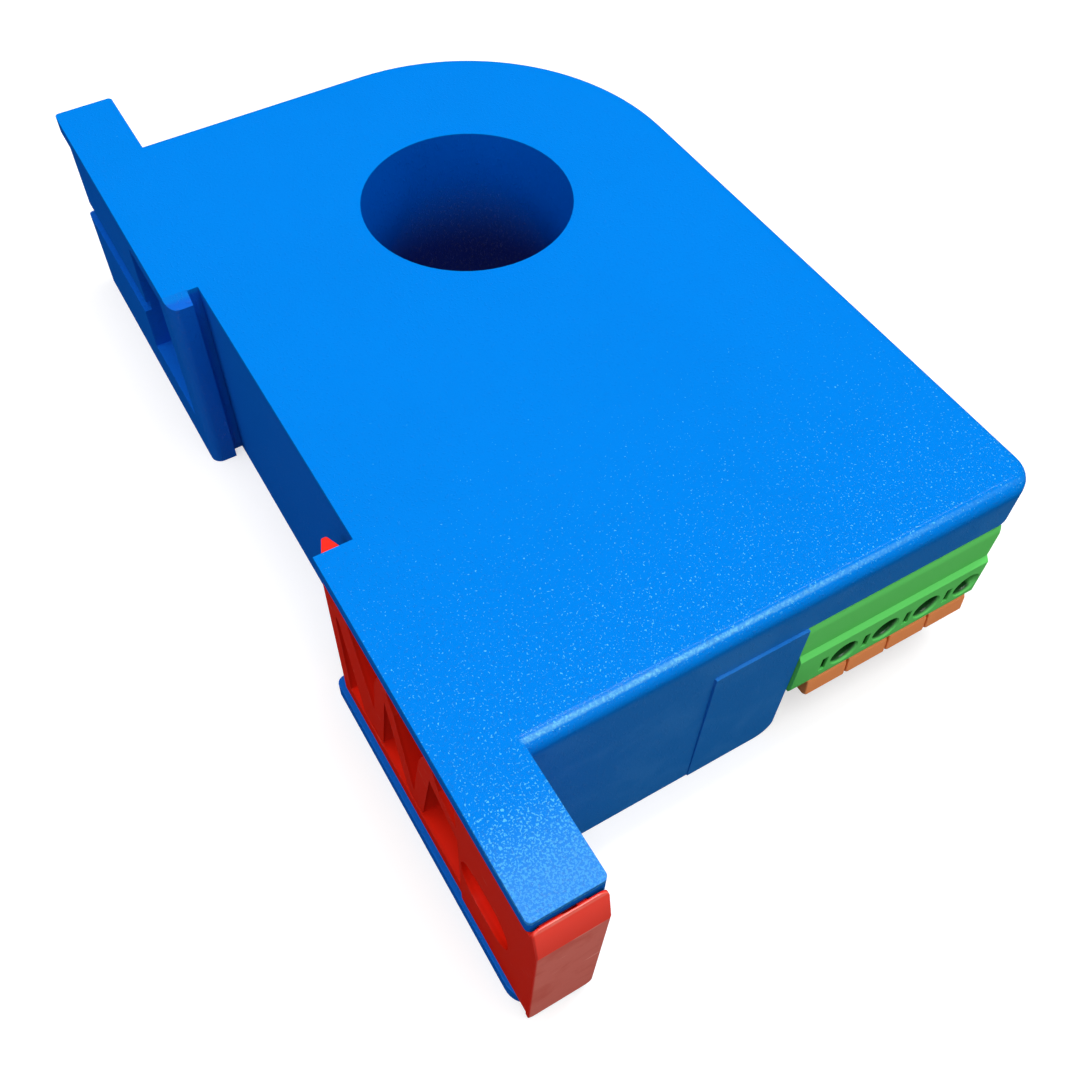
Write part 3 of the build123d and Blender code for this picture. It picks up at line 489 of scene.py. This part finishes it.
def finish_latch(material):
    """The latch: a thumb end paler below, partly worn and partly painted sheen, a chamfer painted
    bright and glowing above it, a painted rim highlight, and inner walls painted purer red and
    glowing as bounced light.
    """
    rim_highlight_share, smudge_adds = 0.35, 0.4
    chamfer_glow, window_glow = 0.8, 0.2
    tree, shader, shade = base_of(material)
    thumb_end = within(tree, *THUMB_END)
    # Painted light: the thumb end is painted a brighter red, which stays on the chamfer above the
    # paler face.
    shade = mix_colours(tree, thumb_end, shade, LIT_CHAMFER_RED)
    # Paler face below the chamfer: partly real wear with smudges and rubs, partly a painted sheen
    # of reflected light.
    marks = place(tree, HANDLING, Smudges_per_metre=260.0, Rubs_per_metre=900.0)
    worn_sheen = mix_colours(tree, marks.outputs["Smudge"], WORN_SHEEN_RED, SMUDGED_RED)
    worn_sheen = mix_colours(tree, marks.outputs["Rub"], worn_sheen, RUBBED_RED)
    shade = mix_colours(tree, both(tree, thumb_end, within(tree, WORN_AND_SHEEN)), shade, worn_sheen)
    # Painted highlight: a pale line along the top edge of the chamfer, patchy with smudges.
    patchy = maths(tree, "MULTIPLY_ADD", marks.outputs["Smudge"], smudge_adds, rim_highlight_share)
    shade = mix_colours(tree, both(tree, thumb_end, within(tree, RIM_HIGHLIGHT), patchy), shade, RIM_HIGHLIGHT_RED)
    # Painted light: the walls inside the windows are painted a purer red, standing for light
    # bounced between them.
    windows = within(tree, *WINDOWS)
    shade = mix_colours(tree, windows, shade, WINDOW_BOUNCE_RED)
    tree.links.new(shade, shader.inputs["Base Color"])

    # Painted light: the chamfer and the walls inside the windows glow, though no lamp is inside.
    chamfer = both(tree, thumb_end, within(tree, CHAMFER))
    glow = maths(tree, "MULTIPLY", windows, window_glow)
    glow = maths(tree, "MULTIPLY_ADD", chamfer, chamfer_glow, glow)
    tree.links.new(mix_colours(tree, glow, NO_GLOW, PAINTED_GLOW_RED), shader.inputs["Emission Color"])
    shader.inputs["Emission Strength"].default_value = 1.0


def finish_plug(material):
    """The plug: its wire entries and test slots are painted dark inside as shade."""
    tree, shader, shade = base_of(material)
    shade = mix_colours(tree, within(tree, *ENTRIES), shade, ENTRY_SHADE_GREEN)
    tree.links.new(shade, shader.inputs["Base Color"])


finish_case(MATERIALS["blue_plastic"])
finish_latch(MATERIALS["red_plastic"])
finish_plug(MATERIALS["green_plastic"])


# ---------------------------------------------------------------- pieces

# The edge radius of each moulding that is rounded, in millimetres
EDGES = {"main_housing": 0.22, "rear_cover": 0.2, "rail_latch": 0.2, "plug_body": 0.14}
EDGES.update({"push_lever_" + pole: 0.2 for pole in "1234"})
MERGED_WITHIN = 0.002 * MM
FLAT_WITHIN = math.radians(0.6)
ROUNDED_FROM = math.radians(28.0)


def finish_node(node):
    """A CAD node keeps its shape and gets the finish of its slot."""
    target = NODES[node]
    target.data.materials.clear()
    target.data.materials.append(MATERIALS[SLOTS[node]])


def moulded_copy(node, edge):
    """The node's own surface merged and cleaned, with each sharp edge rounded to a radius."""
    source = NODES[node]
    mesh = source.data.copy()
    mesh.name = node + "_moulding"
    shape = bmesh.new()
    shape.from_mesh(mesh)
    bmesh.ops.remove_doubles(shape, verts=shape.verts, dist=MERGED_WITHIN)
    bmesh.ops.dissolve_limit(
        shape, angle_limit=FLAT_WITHIN, verts=shape.verts, edges=shape.edges, delimit={"NORMAL"}
    )
    shape.to_mesh(mesh)
    shape.free()
    mesh.materials.clear()
    mesh.materials.append(MATERIALS[SLOTS[node]])
    piece = bpy.data.objects.new(node + "_moulding", mesh)
    bpy.context.scene.collection.objects.link(piece)
    mesh.shade_smooth()
    bevel = piece.modifiers.new("edges", "BEVEL")
    bevel.width = edge
    bevel.segments = 3
    bevel.limit_method = "ANGLE"
    bevel.angle_limit = ROUNDED_FROM
    bevel.harden_normals = False
    bevel.use_clamp_overlap = True
    bevel.miter_outer = "MITER_ARC"
    flat = piece.modifiers.new("flat faces", "WEIGHTED_NORMAL")
    flat.mode = "FACE_AREA"
    flat.weight = 100
    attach(piece, source["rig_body"])
    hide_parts(node)


for name in NODES:
    finish_node(name)
for name, edge in EDGES.items():
    moulded_copy(name, edge * MM)


# ---------------------------------------------------------------- studio

WHITE = (1.0, 1.0, 1.0, 1.0)


def seen_directly(tree):
    """1 for rays from the camera, from a mirror-like reflection or through glass, else 0."""
    path = tree.nodes.new("ShaderNodeLightPath")
    seen = maths(tree, "MAXIMUM", path.outputs["Is Camera Ray"], path.outputs["Is Glossy Ray"])
    return maths(tree, "MAXIMUM", seen, path.outputs["Is Transmission Ray"])


def floor(half=1.2, gap=0.02 * MM):
    """A large sheet just under the part: it looks white with a soft shadow, and lights little."""
    lighting_grey, seen_grey = (0.12, 0.12, 0.12), (0.48, 0.48, 0.48)
    shine = 0.60
    low = cad_box[0].z - gap
    mesh = bpy.data.meshes.new("floor")
    corners = [(-half, -half, low), (half, -half, low), (half, half, low), (-half, half, low)]
    mesh.from_pydata(corners, [], [(0, 1, 2, 3)])
    piece = bpy.data.objects.new("floor", mesh)
    bpy.context.scene.collection.objects.link(piece)
    material, tree, shader = new_material("pale_floor")
    tone = mix_colours(tree, seen_directly(tree), lighting_grey, seen_grey)
    tree.links.new(tone, shader.inputs["Base Color"])
    shader.inputs["Roughness"].default_value = 0.9
    shader.inputs["Specular IOR Level"].default_value = 0.0
    shader.inputs["Emission Color"].default_value = WHITE
    shining = maths(tree, "MULTIPLY", seen_directly(tree), shine)
    tree.links.new(shining, shader.inputs["Emission Strength"])
    mesh.materials.append(material)


def lamp(name, direction, distance, length, width, share):
    """A soft lamp aimed at the part from a direction, its length along X.

    share is the light that it gives a face turned to it.
    """
    data = bpy.data.lights.new(name, "AREA")
    data.shape = "RECTANGLE"
    data.size = length
    data.size_y = width
    data.energy = share * (math.pi * distance) ** 2
    piece = bpy.data.objects.new(name, data)
    towards = Vector(direction).normalized()
    along = Vector((0.0, 1.0, 0.0)).cross(towards).normalized()
    across = towards.cross(along)
    turn = Matrix((along, across, towards)).transposed().to_4x4()
    aim = Vector((0.0, -0.02, 0.02))
    piece.matrix_world = Matrix.Translation(aim + distance * towards) @ turn
    bpy.context.scene.collection.objects.link(piece)


def world_light(strength):
    """A white surround, dimmer where it only lights the part."""
    world = bpy.data.worlds.new("surround")
    bpy.context.scene.world = world
    world.use_nodes = True
    tree = world.node_tree
    tree.nodes.clear()
    output = tree.nodes.new("ShaderNodeOutputWorld")
    soft = add(tree, "ShaderNodeBackground", Color=WHITE, Strength=strength)
    seen = add(tree, "ShaderNodeBackground", Color=WHITE, Strength=1.0)
    mix = tree.nodes.new("ShaderNodeMixShader")
    tree.links.new(seen_directly(tree), mix.inputs[0])
    tree.links.new(soft.outputs[0], mix.inputs[1])
    tree.links.new(seen.outputs[0], mix.inputs[2])
    tree.links.new(mix.outputs[0], output.inputs["Surface"])


def camera():
    """The camera of the photograph, solved from the edges and standard sizes of the part."""
    data = bpy.data.cameras.new("camera")
    data.sensor_width = 36.0
    data.lens = 39.07
    data.shift_x = 0.0355
    data.shift_y = -0.0017
    data.clip_start = 0.005
    data.clip_end = 20.0
    right = Vector((0.8675016, -0.4974304, -0.0019966))
    up = Vector((0.4049675, 0.7039073, 0.5835373))
    back = Vector((-0.2888637, -0.5070281, 0.8120839))
    eye = Vector((-0.048500, -0.092457, 0.106949))
    turn = Matrix((right, up, back)).transposed().to_4x4()
    piece = bpy.data.objects.new("camera", data)
    piece.matrix_world = Matrix.Translation(eye) @ turn
    bpy.context.scene.collection.objects.link(piece)
    bpy.context.scene.camera = piece


floor()
camera()
world_light(0.30)
lamp("key", (0.0, -0.12, 1.0), distance=0.80, length=0.60, width=0.60, share=0.95)
lamp("strip", (0.42, 0.04, 0.905), distance=0.75, length=0.50, width=0.03, share=0.30)
lamp("left", (-0.85, 0.05, 0.50), distance=0.75, length=0.5, width=0.5, share=0.18)
lamp("front", (0.1, -0.85, 0.35), distance=0.80, length=0.5, width=0.5, share=0.12)

bpy.context.scene.view_settings.view_transform = "Standard"
